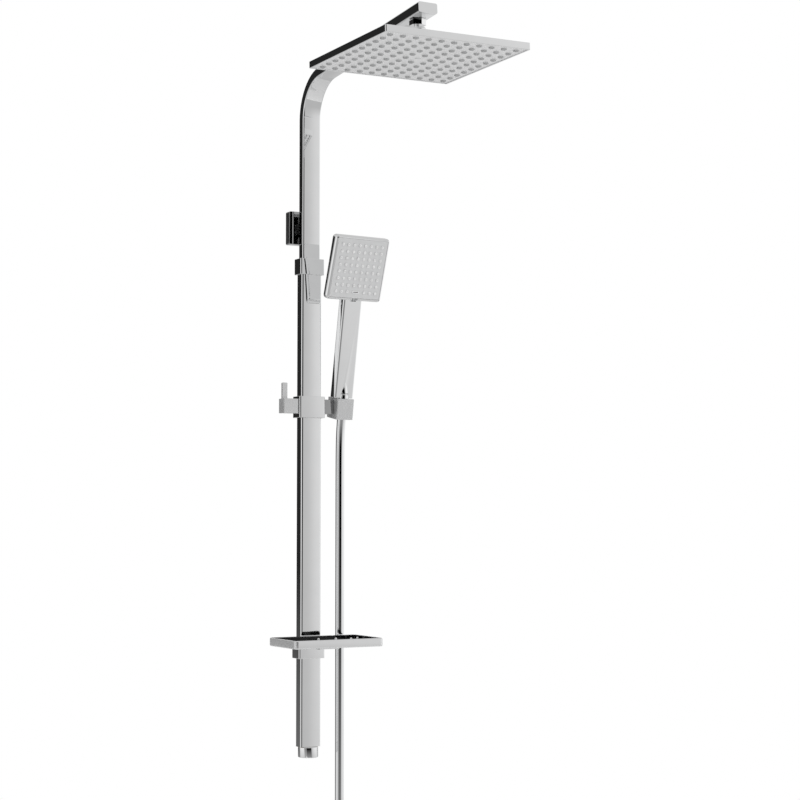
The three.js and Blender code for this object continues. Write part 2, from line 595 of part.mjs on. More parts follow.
// The face's front lies at Y = sunk. Two nozzles of the lowest row make room for a small tablet.
function addHandFace(headGroup) {
  const { across, pitch, plate, sunk } = HAND_NOZZLES;
  const size = HAND_HEAD.plate - 2 * GAP;
  const lowest = across - 1;
  const tabletPlace = (row, column) => row === lowest && Math.abs(column - lowest / 2) < 1;
  const spots = nozzleSpots(across, pitch, tabletPlace);
  const field = nozzlePlate(size, plate, spots, { base: 2.1, tip: 1.5, length: 1 });
  add('hand_nozzle_plate', alongY(field).translate(0, sunk, 0), NOZZLE_GREY, headGroup);
  const tablet = prism(roundedSection(14, 3.6, 1.6), 0, 0.9).rotateX(Math.PI / 2);
  add('hand_badge', tablet.translate(0, sunk - GAP, -lowest / 2 * pitch), CHROME, headGroup);
  const backing = block(size, 2, size, 0, sunk + plate + GAP + 1, 0);
  add('hand_backing_plate', backing, PLASTIC, headGroup);
}

function addHandWaterway(group) {
  const inlet = turned([[5.2, -13], [7.6, -13], [7.6, 8.4], [5.2, 8.4]], 24);
  add('hand_inlet', inlet, BRASS, group);
  const tube = ring(3.8, 5, 10, 165, 18).translate(0, HANDLE.back, 0);
  add('hand_water_tube', tube, PLASTIC, group);
  add('hand_flow_limiter', ring(1.4, 4.9, -12.6, -9.6, 18), PLASTIC, group);
}

// ---- Shelf ----
const shelfBottom = SHELF.top - SHELF.height;
const BRACKET = { width: 36, reach: 66, thickness: 4, rivetSpread: 12, rivetInset: 50 };
const sleeveFront = COLUMN_Y - SLEEVE.depth / 2;

function rivets(radius, bottom, top) {
  return [-1, 1].map((side) => {
    const pin = disc(radius, bottom, top, 14);
    return pin.translate(side * BRACKET.rivetSpread, sleeveFront - BRACKET.rivetInset, 0);
  });
}

function addShelf() {
  const { width, depth, back, top, wall, floor } = SHELF;
  const middleY = back - depth / 2;
  const insertThickness = 2.3;
  const [innerWidth, innerDepth] = [width - 2 * wall, depth - 2 * wall];
  const pocketFloor = top - floor - insertThickness - GAP;
  const rim = prism(roundedSection(width, depth, 6), shelfBottom, top, 2);
  const inside = prism(roundedSection(innerWidth, innerDepth, 3), pocketFloor, top + 2);
  const hollow = prism(roundedSection(innerWidth, innerDepth, 3), shelfBottom - 2, pocketFloor - 1.6);
  const pad = block(BRACKET.width + 8, 80, 30, 0, back - 40 - middleY, shelfBottom);
  const frame = cut(rim, inside, cut(hollow, pad)).translate(0, middleY, 0);
  const holes = rivets(2 + GAP, shelfBottom - 1, shelfBottom + 3.5);
  add('shelf_frame', cut(frame, ...holes), CHROME);
  const dish = roundedSection(innerWidth - 2 * GAP, innerDepth - 2 * GAP, 3);
  const dishInside = roundedSection(innerWidth - 2 * GAP - 2.4, innerDepth - 2 * GAP - 2.4, 2);
  const insert = cut(prism(dish, pocketFloor + GAP, top - 0.7), prism(dishInside, top - floor, top + 2));
  add('shelf_insert', insert.translate(0, middleY, 0), SMOKED);
}

function addShelfClamp() {
  const { bore, liner } = slidingFit();
  const sleeve = columnRing(SLEEVE, bore.width, bore.depth, CLAMP.top, CLAMP.bottom, 0.7);
  const bracketTop = shelfBottom - GAP;
  const { width, reach, thickness } = BRACKET;
  const bracketY = sleeveFront - reach / 2 + 1.6;
  const bracket = block(width, reach, thickness, 0, bracketY, bracketTop - thickness / 2);
  const grubZ = (CLAMP.top + CLAMP.bottom) / 2 - 4;
  const holes = rivets(2 + GAP, bracketTop - 10, bracketTop + 1);
  add('shelf_clamp', cut(join(sleeve, bracket), grubHoleAtBack(grubZ), ...holes), CHROME);
  const inner = prism(liner, CLAMP.bottom + 1.5, CLAMP.top - 1.5);
  add('shelf_clamp_liner', inner.translate(0, COLUMN_Y, 0), PLASTIC);
  const grubStart = COLUMN_Y + LOWER.depth / 2 + 2 * GAP + LINER_WALL + 0.2;
  add('shelf_grub_screw', alongY(grubScrew(1.4)).translate(0, grubStart, grubZ), STEEL);
  rivets(2, bracketTop - thickness, shelfBottom + 3).forEach((pin, i) => {
    add(`shelf_rivet_${i === 0 ? 'left' : 'right'}`, pin, STEEL);
  });
}

// ---- Hose: free down to the hank, then folded into it, with a short tail ----
const hoseStart = cupMouth.clone().addScaledVector(leanAxis, -25);
// How far the free hose has come down, and back towards the wall, from where it leaves the nut.
const HOSE_ROUTE = [
  [0, 0], [9, 1.5], [20, 3.2], [34, 4.8], [50, 5.9],
  [75, 6.6], [110, 6.8], [160, 6.8], [230, 6.8], [320, 6.8],
];

function addHose() {
  const { diameter, sides, runY, step, length } = HOSE;
  const x = hoseStart.x;
  const points = HOSE_ROUTE.map(([down, back]) => {
    return new THREE.Vector3(x, hoseStart.y + back, hoseStart.z - down);
  });
  const last = points.at(-1);
  points.push(new THREE.Vector3(x, runY, (last.z + HANK.top) / 2));
  points.push(new THREE.Vector3(x, runY, HANK.top + GAP));
  const route = new THREE.CatmullRomCurve3(points, false, 'centripetal');
  const section = new THREE.Shape();
  section.absarc(0, 0, diameter / 2, 0, 2 * Math.PI);
  const steps = Math.ceil(route.getLength() / step);
  const tube = new THREE.ExtrudeGeometry(section, { steps, extrudePath: route, curveSegments: sides });
  add('hose_tube', tube, HOSE_SKIN);

  const { top, bend, run, layerPitch, slack } = HANK;
  const reach = bend + diameter / 2 + slack;
  const bottom = top - run - 2 * (bend + diameter / 2);
  const outline = new THREE.Shape();
  outline.moveTo(-reach, bottom);
  outline.lineTo(0, bottom);
  outline.absarc(0, bottom + reach, reach, -Math.PI / 2, 0);
  outline.absarc(0, top - reach, reach, 0, Math.PI / 2);
  outline.lineTo(-reach, top);
  const thickness = layerPitch + diameter + 2 * slack;
  const hankShape = { depth: thickness, bevelEnabled: false, curveSegments: 8 };
  const hank = new THREE.ExtrudeGeometry(outline, hankShape);
  hank.rotateX(Math.PI / 2).translate(x + bend, runY - diameter / 2 - slack + thickness, 0);
  add('hose_hank', hank, HOSE_SKIN);

  const middle = runY + layerPitch / 2;
  const tieOuter = roundedSection(2 * reach + 2 * GAP + 3, thickness + 2 * GAP + 3, 4);
  const tieInner = roundedSection(2 * reach + 2 * GAP, thickness + 2 * GAP, 0.5);
  const tie = prism(hollowSection(tieOuter, tieInner), -6, 6);
  add('hank_tie', tie.translate(x + bend, middle, (top + bottom) / 2), RUBBER);

  const inHank = 2 * (bend + diameter / 2) + 3 * run + 2 * Math.PI * bend;
  const tail = length - route.getLength() - inHank;
  addHoseEnd(x, runY + layerPitch, bottom - GAP, bottom - tail);
}

function addHoseEnd(x, y, top, end) {
  const { diameter, sides } = HOSE;
  const { radius, height } = HOSE_NUT;
  const nutTop = end + 9;
  add('hose_tail', disc(diameter / 2, nutTop + GAP, top, sides).translate(x, y, 0), HOSE_SKIN);
  const shell = disc(radius, 0, height, 32);
  const grips = disc(radius / Math.cos(Math.PI / 12) - 0.6, 0, height - 4, 12);
  const bore = disc(10, -1, 9.5, 28);
  const neck = disc(6, 0, height + 1, 24);
  const nut = cut(overlap(shell, join(grips, disc(radius - 1, height - 5, height, 32))), bore, neck);
  add('hose_end_nut', nut.translate(x, y, nutTop - height), CHROME);
  const washer = ring(5, 9.6, nutTop - height + 6.4, nutTop - height + 9.2, 24);
  add('hose_end_washer', washer.translate(x, y, 0), RUBBER);
}

addWallFixing();
addRiser();
addOutlet();
addTelescopeGland();
addRose();
addLowerColumn();
addColumnEnd();
addSlider();
addHolder();
addConeNut();
addHandShower();
addShelf();
addShelfClamp();
addHose();

export default model;
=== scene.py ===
"""Chrome rainfall shower column: materials, the flexible hose, nozzle fields and the studio."""
import json
import math

import bmesh
import bpy
from mathutils import Euler, Matrix, Vector


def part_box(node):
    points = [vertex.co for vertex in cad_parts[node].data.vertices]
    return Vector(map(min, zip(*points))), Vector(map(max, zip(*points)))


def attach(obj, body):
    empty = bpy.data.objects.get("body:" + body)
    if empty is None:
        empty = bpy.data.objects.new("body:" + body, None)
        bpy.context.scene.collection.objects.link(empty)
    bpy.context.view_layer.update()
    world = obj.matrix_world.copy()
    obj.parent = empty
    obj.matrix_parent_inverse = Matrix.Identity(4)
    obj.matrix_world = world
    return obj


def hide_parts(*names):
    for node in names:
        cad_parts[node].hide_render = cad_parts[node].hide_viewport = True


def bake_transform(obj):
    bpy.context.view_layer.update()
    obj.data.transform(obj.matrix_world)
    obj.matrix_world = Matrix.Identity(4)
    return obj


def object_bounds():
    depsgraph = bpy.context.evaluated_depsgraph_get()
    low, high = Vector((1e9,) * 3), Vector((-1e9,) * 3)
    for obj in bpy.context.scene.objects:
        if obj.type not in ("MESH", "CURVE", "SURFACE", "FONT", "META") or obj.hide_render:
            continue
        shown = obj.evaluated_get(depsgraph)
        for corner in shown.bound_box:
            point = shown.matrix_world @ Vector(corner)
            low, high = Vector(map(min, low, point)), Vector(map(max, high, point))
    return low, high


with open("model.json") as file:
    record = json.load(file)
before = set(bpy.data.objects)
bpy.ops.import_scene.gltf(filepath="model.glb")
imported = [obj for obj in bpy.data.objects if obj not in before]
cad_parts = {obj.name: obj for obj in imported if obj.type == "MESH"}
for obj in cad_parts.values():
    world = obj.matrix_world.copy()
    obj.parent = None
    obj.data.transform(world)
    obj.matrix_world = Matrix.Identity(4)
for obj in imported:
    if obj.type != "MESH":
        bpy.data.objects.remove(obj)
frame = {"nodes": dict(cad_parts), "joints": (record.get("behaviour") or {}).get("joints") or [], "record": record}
cad_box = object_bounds()
nodes = frame["nodes"]
joints = {joint["name"]: joint for joint in frame["joints"]}

HOSE_DIAMETER = 0.015
HOSE_LENGTH = 1.6
# From the mouth of the holder's cup, along its axis, to where the hose leaves the cone nut.
NUT_DEPTH = 0.025
# How far the hose comes down, and how far back, from there. The CAD's hose has the same route.
HOSE_ROUTE = [
    (0.000, 0.0000), (0.009, 0.0015), (0.020, 0.0032), (0.034, 0.0048), (0.050, 0.0059),
    (0.075, 0.0066), (0.110, 0.0068), (0.160, 0.0068), (0.230, 0.0068), (0.320, 0.0068),
]
# The hank: radius of its bends, length of its straight runs, the step back to its second layer,
# and its gap to the front of the CAD's block.
HANK_BEND = 0.050
HANK_RUN = 0.150
HANK_LAYER = 0.0156
HANK_CLEARANCE = 0.0002
# Points in each bend, and how far apart they are above the hank.
BEND_POINTS = 18
CURVE_STEP = 0.008

CAMERA_PLACE = Vector((-1.3935, -2.8569, -0.4827))
CAMERA_YAW = math.radians(29.09)
CAMERA_PITCH = math.radians(3.41)
CAMERA_LENS = 83.48


# ---- Camera ----
def add_camera():
    camera = bpy.data.objects.new("camera", bpy.data.cameras.new("camera"))
    camera.location = CAMERA_PLACE
    camera.rotation_euler = Euler((math.pi / 2 + CAMERA_PITCH, 0, -CAMERA_YAW))
    camera.data.lens = CAMERA_LENS
    camera.data.sensor_width = 36
    bpy.context.collection.objects.link(camera)
    bpy.context.scene.camera = camera


# ---- Mesh helpers ----
def new_object(name, mesh):
    piece = bpy.data.objects.new(name, mesh)
    bpy.context.collection.objects.link(piece)
    return piece


def mesh_from(name, vertices, faces, smooth=True):
    mesh = bpy.data.meshes.new(name)
    mesh.from_pydata([tuple(v) for v in vertices], [], faces)
    mesh.polygons.foreach_set("use_smooth", [smooth] * len(mesh.polygons))
    mesh.update()
    return new_object(name, mesh)


# ---- Hose ----
def smooth_line(points, step):
    """Points every `step` or so along a centripetal Catmull-Rom curve."""
    ends = [points[0] * 2 - points[1], *points, points[-1] * 2 - points[-2]]
    line = []
    for a, b, c, d in zip(ends, ends[1:], ends[2:], ends[3:]):
        knots = [0]
        for p, q in ((a, b), (b, c), (c, d)):
            knots.append(knots[-1] + math.sqrt((q - p).length))
        count = max(1, round((c - b).length / step))
        for i in range(count):
            line.append(on_catmull(a, b, c, d, knots, i / count))
    return line + [points[-1]]


def on_catmull(a, b, c, d, knots, share):
    """The point that lies `share` of the way from b to c."""
    t0, t1, t2, t3 = knots
    t = t1 + (t2 - t1) * share
    first = a.lerp(b, (t - t0) / (t1 - t0))
    second = b.lerp(c, (t - t1) / (t2 - t1))
    third = c.lerp(d, (t - t2) / (t3 - t2))
    left = first.lerp(second, (t - t0) / (t2 - t0))
    right = second.lerp(third, (t - t1) / (t3 - t1))
    return left.lerp(right, (t - t1) / (t2 - t1))


def fold(centre, start_angle, end_angle, back=0.0):
    """A half turn of the hank in the XZ plane, which may move back as it goes."""
    for i in range(1, BEND_POINTS + 1):
        share = i / BEND_POINTS
        angle = start_angle + (end_angle - start_angle) * share
        ease = share * share * (3 - 2 * share)
        across = HANK_BEND * math.cos(angle)
        up = HANK_BEND * math.sin(angle)
        yield centre + Vector((across, back * ease, up))


def hose_path():
    """From the cone nut down to the hank, round it once, and down to the end nut."""
    low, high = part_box("hose_tube")
    hank_low, hank_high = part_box("hose_hank")
    x = (low[0] + high[0]) / 2
    holder = joints["hand_swivel"]
    axis = Vector(holder["axis"]).normalized()
    start = Vector(holder["pos_m"]) - axis * NUT_DEPTH
    run_y = hank_low[1] + HOSE_DIAMETER / 2 + HANK_CLEARANCE
    points = [Vector((x, start.y + back, start.z - down)) for down, back in HOSE_ROUTE]
    points.append(Vector((x, run_y, (points[-1].z + hank_high[2]) / 2)))
    points.append(Vector((x, run_y, hank_high[2])))
    line = smooth_line(points, CURVE_STEP)
    top = hank_high[2] - HOSE_DIAMETER / 2 - HANK_BEND
    bottom = top - HANK_RUN
    line += straight(line[-1], Vector((x, run_y, bottom)))
    line += fold(Vector((x + HANK_BEND, run_y, bottom)), math.pi, 2 * math.pi)
    line += straight(line[-1], Vector((x + 2 * HANK_BEND, run_y, top)))
    line += fold(Vector((x + HANK_BEND, run_y, top)), 0, math.pi, HANK_LAYER)
    travelled = sum((b - a).length for a, b in zip(line, line[1:]))
    line += straight(line[-1], line[-1] - Vector((0, 0, HOSE_LENGTH - travelled)))
    return line


def straight(start, end, step=0.01):
    """Points from start, which is left out, to end."""
    count = max(2, round((end - start).length / step))
    return [start.lerp(end, i / count) for i in range(1, count + 1)]


def tube_mesh(name, line, radius, sides=24):
    """A closed tube along a line, without twist."""
    vertices, faces = [], []
    side = Vector((1, 0, 0))
    for i, point in enumerate(line):
        ahead = (line[min(i + 1, len(line) - 1)] - line[max(i - 1, 0)]).normalized()
        side = (side - ahead * side.dot(ahead)).normalized()
        up = ahead.cross(side)
        for k in range(sides):
            angle = 2 * math.pi * k / sides
            vertices.append(point + radius * (math.cos(angle) * side + math.sin(angle) * up))
    for i in range(len(line) - 1):
        for k in range(sides):
            a, b = i * sides + k, i * sides + (k + 1) % sides
            faces.append((a, b, b + sides, a + sides))
    faces.append(tuple(reversed(range(sides))))
    faces.append(tuple(range(len(vertices) - sides, len(vertices))))
    return mesh_from(name, vertices, faces)


def add_hose():
    line = hose_path()
    hose = tube_mesh("shower_hose", line, HOSE_DIAMETER / 2)
    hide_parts("hose_tube", "hose_hank", "hose_tail")
    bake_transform(hose)
    return hose


# ---- Nozzle fields ----
# The rose's turn at rest, the height of its rim's lower edge, and its square of nozzles.
ROSE_TILT = (math.radians(-0.5), math.radians(-0.7), 0)
ROSE_FACE_Z = 0.2102
ROSE_PLATE_SINK = 0.001
ROSE_PLATE_SIZE = 0.2446
ROSE_PLATE_THICKNESS = 0.003
ROSE_ACROSS = 11
ROSE_PITCH = 0.0218
ROSE_FLANK_BANDS = 2
# The hand shower's turn in its holder, its head's place and lean from there, and its nozzles.
HAND_TURN = (math.radians(9.8), math.radians(0.8), math.radians(6.6))
HAND_HEAD_PLACE = Vector((-0.0015, -0.015, 0.2218))
HAND_HEAD_LEAN = math.radians(7.2)
HAND_PLATE_SINK = 0.0006
HAND_PLATE_SIZE = 0.101
HAND_PLATE_THICKNESS = 0.0024
HAND_ACROSS = 8
HAND_PITCH = 0.0114
HAND_FLANK_BANDS = 1
# Radius and height of each ring of a nozzle, from its foot in the plate to the bottom of its hole.
ROSE_NOZZLE = [
    (0.0046, 0.0002), (0.0045, -0.0011), (0.0042, -0.0017), (0.0036, -0.0020),
    (0.0022, -0.0021), (0.0011, -0.0021), (0.0009, -0.0010),
]
HAND_NOZZLE = [
    (0.0027, 0.0002), (0.0027, -0.0008), (0.0025, -0.0012), (0.0021, -0.0014),
    (0.0014, -0.0016), (0.0007, -0.0016), (0.0005, -0.0008),
]
NOZZLE_SIDES = 16
# Material slots of a nozzle plate; the plate itself is in slot 0.
FLANK_SLOT = 1
TIP_SLOT = 2
# The last slot holds the dark disc that closes each nozzle's hole: painted shade for the inside of the hole.
HOLE_SHADE_SLOT = 3


def turn(angles):
    """A rotation about X, then the turned Y, then the turned Z, as the CAD's groups are placed."""
    result = Matrix.Identity(4)
    for angle, axis in zip(angles, "XYZ"):
        result = result @ Matrix.Rotation(angle, 4, axis)
    return result


def grid(across, pitch, skip):
    """Places in a square field about the middle, without those that skip says yes to."""
    half = (across - 1) / 2
    for row in range(across):
        for column in range(across):
            if not skip(row, column):
                yield (column - half) * pitch, (row - half) * pitch


def rose_screw(row, column):
    """The rose's middle nozzle gives way to its screw."""
    return row == 5 and column == 5


def hand_tablet(row, column):
    """Two of the hand shower's lowest nozzles give way to its small tablet."""
    return row == 7 and column in (3, 4)


def add_ring(bm, x, y, radius, height):
    ring = []
    for k in range(NOZZLE_SIDES):
        angle = 2 * math.pi * k / NOZZLE_SIDES
        ring.append(bm.verts.new((x + radius * math.cos(angle), y + radius * math.sin(angle), height)))
    return ring


def add_nozzle(bm, x, y, profile, flank_bands):
    """A turned nozzle. The first bands between its rings are its flank."""
    rings = [add_ring(bm, x, y, radius, height) for radius, height in profile]
    for i, (outer, inner) in enumerate(zip(rings, rings[1:])):
        for k in range(NOZZLE_SIDES):
            after = (k + 1) % NOZZLE_SIDES
            face = bm.faces.new((outer[k], inner[k], inner[after], outer[after]))
            face.smooth = True
            face.material_index = FLANK_SLOT if i < flank_bands else TIP_SLOT
    # The disc that closes the hole is painted near black, as painted shade for the hole's inside.
    bottom = bm.faces.new(list(reversed(rings[-1])))
    bottom.material_index = HOLE_SHADE_SLOT


def nozzle_plate(name, size, thickness, spots, profile, flank_bands):
    """A flat plate facing -Z at height 0, with a nozzle under it at each spot."""
    mesh = bpy.data.meshes.new(name)
    bm = bmesh.new()
    bmesh.ops.create_cube(bm, size=1)
    bmesh.ops.scale(bm, vec=(size, size, thickness), verts=bm.verts)
    bmesh.ops.translate(bm, vec=(0, 0, thickness / 2), verts=bm.verts)
    for x, y in spots:
        add_nozzle(bm, x, y, profile, flank_bands)
    bmesh.ops.recalc_face_normals(bm, faces=bm.faces)
    bm.to_mesh(mesh)
    bm.free()
    return new_object(name, mesh)


def add_rose_face():
    ball = Vector(joints["rose_spin"]["pos_m"])
    bottom = ROSE_FACE_Z - ball.z + ROSE_PLATE_SINK
    spots = grid(ROSE_ACROSS, ROSE_PITCH, rose_screw)
    plate = nozzle_plate(
        "rose_face", ROSE_PLATE_SIZE, ROSE_PLATE_THICKNESS, spots, ROSE_NOZZLE, ROSE_FLANK_BANDS
    )
    plate.matrix_world = Matrix.Translation(ball) @ turn(ROSE_TILT) @ Matrix.Translation((0, 0, bottom))
    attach(plate, "overhead_rose")
    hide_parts("rose_nozzle_plate")
    return plate


def add_hand_face():
    spots = grid(HAND_ACROSS, HAND_PITCH, hand_tablet)
    plate = nozzle_plate(
        "hand_face", HAND_PLATE_SIZE, HAND_PLATE_THICKNESS, spots, HAND_NOZZLE, HAND_FLANK_BANDS
    )
    sink = Matrix.Translation((0, HAND_PLATE_SINK, 0))
    stand = Matrix.Rotation(-math.pi / 2, 4, "X")
    plate.matrix_world = hand_head_place() @ sink @ stand
    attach(plate, "hand_shower")
    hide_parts("hand_nozzle_plate")
    return plate


def hand_head_place():
    """The hand shower's head: its face is at Y = 0 and looks to -Y."""
    mouth = Vector(joints["hand_swivel"]["pos_m"])
    head = Matrix.Translation(HAND_HEAD_PLACE) @ Matrix.Rotation(HAND_HEAD_LEAN, 4, "X")
    return Matrix.Translation(mouth) @ turn(HAND_TURN) @ head


# ---- Line on the tablet ----
# Length between the middles of the round ends, height, thickness, and how far its back stands
# in front of the head's face.
LINE_LENGTH = 0.0085
LINE_HEIGHT = 0.0011
LINE_THICKNESS = 0.0003
LINE_STAND = 0.0006
LINE_END_STEPS = 8


def line_outline(bm):
    """A flat bar with round ends."""
    outline = []
    for side in (-1, 1):
        for k in range(LINE_END_STEPS + 1):
            angle = math.pi * (k / LINE_END_STEPS - 0.5)
            x = side * (LINE_LENGTH / 2 + LINE_HEIGHT / 2 * math.cos(angle))
            z = side * LINE_HEIGHT / 2 * math.sin(angle)
            outline.append(bm.verts.new((x, 0, z)))
    return outline


def add_badge_line():
    """The dark line on the light tablet of the hand shower's face."""
    bm = bmesh.new()
    face = bm.faces.new(line_outline(bm))
    pushed = bmesh.ops.extrude_face_region(bm, geom=[face])["geom"]
    front = [made for made in pushed if isinstance(made, bmesh.types.BMVert)]
    bmesh.ops.translate(bm, vec=(0, -LINE_THICKNESS, 0), verts=front)
    bmesh.ops.recalc_face_normals(bm, faces=bm.faces)
    mesh = bpy.data.meshes.new("badge_line")
    bm.to_mesh(mesh)
    bm.free()
    line = new_object("badge_line", mesh)
    lowest_row = -(HAND_ACROSS - 1) / 2 * HAND_PITCH
    line.matrix_world = hand_head_place() @ Matrix.Translation((0, -LINE_STAND, lowest_row))
    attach(line, "hand_shower")
    return line


# ---- Tray studs ----
STUD_RADIUS = 0.0022
# Across the tray, and back from the front edge of its dish.
STUD_PLACES = [(0.0007, 0.078), (0.0315, 0.075), (0.0537, 0.062), (0.072, 0.074)]


def add_tray_studs():
    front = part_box("shelf_insert")[0][1]
    floor = dish_floor()
    bm = bmesh.new()
    for x, back in STUD_PLACES:
        ball = bmesh.ops.create_uvsphere(bm, u_segments=16, v_segments=10, radius=STUD_RADIUS)
        bmesh.ops.translate(bm, vec=(x, front + back, floor), verts=ball["verts"])
    mesh = bpy.data.meshes.new("tray_studs")
    bm.to_mesh(mesh)
    bm.free()
    mesh.polygons.foreach_set("use_smooth", [True] * len(mesh.polygons))
    studs = new_object("tray_studs", mesh)
    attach(studs, "shelf_floor")
    return studs


def dish_floor():
    """Height of the dish's floor, from the mount on it."""
    mounts = {mount["name"]: mount for mount in frame["record"]["mounts"]}
    return mounts["shelf_surface"]["pos_m"][2]


# ---- Materials ----
LEAST_ROUGHNESS = 0.015
# Each channel of a chrome's grey: a touch towards blue.
COOL = (1, 1.003, 1.006)


def set_range(node, start, end, low=0.0, high=1.0):
    """A Map Range node that takes start to low and end to high."""
    node.inputs["From Min"].default_value = start
    node.inputs["From Max"].default_value = end
    node.inputs["To Min"].default_value = low
    node.inputs["To Max"].default_value = high


class Finish:
    """A Principled material whose roughness and surface are broken up by noise."""

    def __init__(self, name, color, metallic, roughness, spread, bump, scale):
        self.material = bpy.data.materials.new(name)
        self.material.use_nodes = True
        self.tree = self.material.node_tree
        self.shader = self.tree.nodes["Principled BSDF"]
        self.shader.inputs["Metallic"].default_value = metallic
        self.shader.inputs["Base Color"].default_value = (*color, 1)
        self.place = self.tree.nodes.new("ShaderNodeTexCoord").outputs["Object"]
        self.color = color
        smear = self.noise(scale, detail=6, rough=0.55)
        rough = self.node("ShaderNodeMapRange", smear)
        set_range(rough, 0.3, 0.75, max(LEAST_ROUGHNESS, roughness - spread), roughness + spread)
        self.rough = rough.outputs[0]
        self.link(self.rough, self.shader.inputs["Roughness"])
        self.add_bump(smear, bump)

    def node(self, kind, source=None):
        node = self.tree.nodes.new(kind)
        if source is not None:
            self.link(source, node.inputs[0])
        return node

    def link(self, source, target):
        self.tree.links.new(source, target)

    def noise(self, scale, detail, rough):
        node = self.node("ShaderNodeTexNoise", self.place)
        node.inputs["Scale"].default_value = scale
        node.inputs["Detail"].default_value = detail
        node.inputs["Roughness"].default_value = rough
        return node.outputs["Fac"]

    def add_bump(self, height, strength, distance=0.0004):
        bump = self.node("ShaderNodeBump")
        bump.inputs["Strength"].default_value = strength
        bump.inputs["Distance"].default_value = distance
        self.link(height, bump.inputs["Height"])
        self.link(bump.outputs["Normal"], self.shader.inputs["Normal"])

    def mottle(self, darker):
        """The colour drifts a little between the base colour and a darker one."""
        ramp = self.node("ShaderNodeValToRGB", self.noise(scale=25, detail=8, rough=0.6))
        ramp.color_ramp.elements[0].position = 0.35
        ramp.color_ramp.elements[1].position = 0.65
        ramp.color_ramp.elements[0].color = (*[c * darker for c in self.color], 1)
        ramp.color_ramp.elements[1].color = (*self.color, 1)
        self.link(ramp.outputs["Color"], self.shader.inputs["Base Color"])
        return self

    def satin_flanks(self, extra, start=0.75, end=0.95):
        """Faces that look left or right are rougher than the polished rest."""
        normal = self.tree.nodes.new("ShaderNodeTexCoord").outputs["Normal"]
        across = self.node("ShaderNodeSeparateXYZ", normal).outputs["X"]
        size = self.node("ShaderNodeMath", across)
        size.operation = "ABSOLUTE"
        flank = self.node("ShaderNodeMapRange", size.outputs[0])
        set_range(flank, start, end)
        rough = self.node("ShaderNodeMath", flank.outputs[0])
        rough.operation = "MULTIPLY_ADD"
        rough.inputs[1].default_value = extra
        self.link(self.rough, rough.inputs[2])
        self.link(rough.outputs[0], self.shader.inputs["Roughness"])
        return self


# Finishes of one colour: material, colour, metallic, roughness and its spread, bump, the noise's
# scale, and the darker share of the colour that it drifts to.
PLAIN_FINISHES = {
    "steel": ("steel_turned", (0.6, 0.61, 0.62), 1, 0.3, 0.06, 0.05, 180, 0.8),
    "brass": ("brass_turned", (0.65, 0.48, 0.2), 1, 0.28, 0.08, 0.05, 120, 0.75),
    "rubber": ("rubber_black", (0.025, 0.025, 0.025), 0, 0.7, 0.1, 0.2, 400, 0.6),
    "plastic": ("plastic_dark", (0.05, 0.05, 0.055), 0, 0.45, 0.08, 0.1, 300, 0.7),
    "rose": ("rose_face", (0.93, 0.93, 0.935), 0.2, 0.3, 0.03, 0.002, 90, 0.98),
    "face": ("hand_face", (0.7, 0.703, 0.706), 0, 0.35, 0.03, 0.001, 90, 0.98),
    "nozzle": ("nozzle_silicone", (0.95, 0.95, 0.95), 0, 0.35, 0.08, 0.06, 500, 0.9),
    "flank": ("nozzle_flank", (0.8, 0.8, 0.81), 1, 0.12, 0.03, 0.01, 500, 0.9),
    # The near-black disc in each nozzle's hole: painted shade.
    "hole": ("nozzle_hole", (0.08, 0.08, 0.085), 0, 0.6, 0.08, 0.06, 500, 0.8),
}


def chrome(name, roughness, spread, tone=0.9):
    color = [tone * share for share in COOL]
    return Finish(name, color, 1, roughness, spread, 0.001, 18).mottle(0.975)


def satin():
    """The softer chrome of the lock and the holder."""
    finish = Finish("chrome_soft", (0.72, 0.722, 0.725), 0.6, 0.16, 0.01, 0.001, 18)
    return finish.mottle(0.975).satin_flanks(0.3)


def rose_nozzle():
    """Grey rubber that takes almost no reflection."""
    finish = Finish("rose_nozzle", (0.5, 0.503, 0.506), 0, 0.85, 0.05, 0.01, 500).mottle(0.9)
    finish.shader.inputs["Specular IOR Level"].default_value = 0.05
    return finish


def smoked():
    """The tray's dark glossy dish."""
    finish = Finish("smoked_floor", (0.006, 0.006, 0.007), 0, 0.035, 0.01, 0.002, 90).mottle(0.5)
    finish.shader.inputs["IOR"].default_value = 1.45
    return finish


def hose_skin():
    """Silver hose under a clear skin; a fine wound rib takes the place of the noise in its surface."""
    finish = Finish("hose_silver", (0.88, 0.885, 0.89), 1, 0.04, 0.015, 0.002, 60).mottle(0.96)
    wave = finish.node("ShaderNodeTexWave", finish.place)
    wave.bands_direction = "Z"
    wave.inputs["Scale"].default_value = 130
    wave.inputs["Distortion"].default_value = 0.3
    finish.add_bump(wave.outputs["Fac"], 0.03, 0.0002)
    finish.shader.inputs["Coat Weight"].default_value = 0.5
    finish.shader.inputs["Coat Roughness"].default_value = 0.05
    return finish


def make_finishes():
    finishes = {
        "chrome": chrome("chrome_plate", 0.03, 0.012),
        "satin": satin(),
        # The flange, its neck and the holder arm take the same chrome at half its tone: a darker copy of it, as
        # painted shade.
        "side": chrome("chrome_painted_shade", 0.03, 0.01, 0.45).satin_flanks(0.25),
        "tray": chrome("chrome_tray", 0.03, 0.01, 0.92).satin_flanks(0.5, 0.08, 0.4),
        "bud": rose_nozzle(),
        "smoked": smoked(),
        "hose": hose_skin(),
    }
    for name, (*values, darker) in PLAIN_FINISHES.items():
        finishes[name] = Finish(*values).mottle(darker)
    return finishes


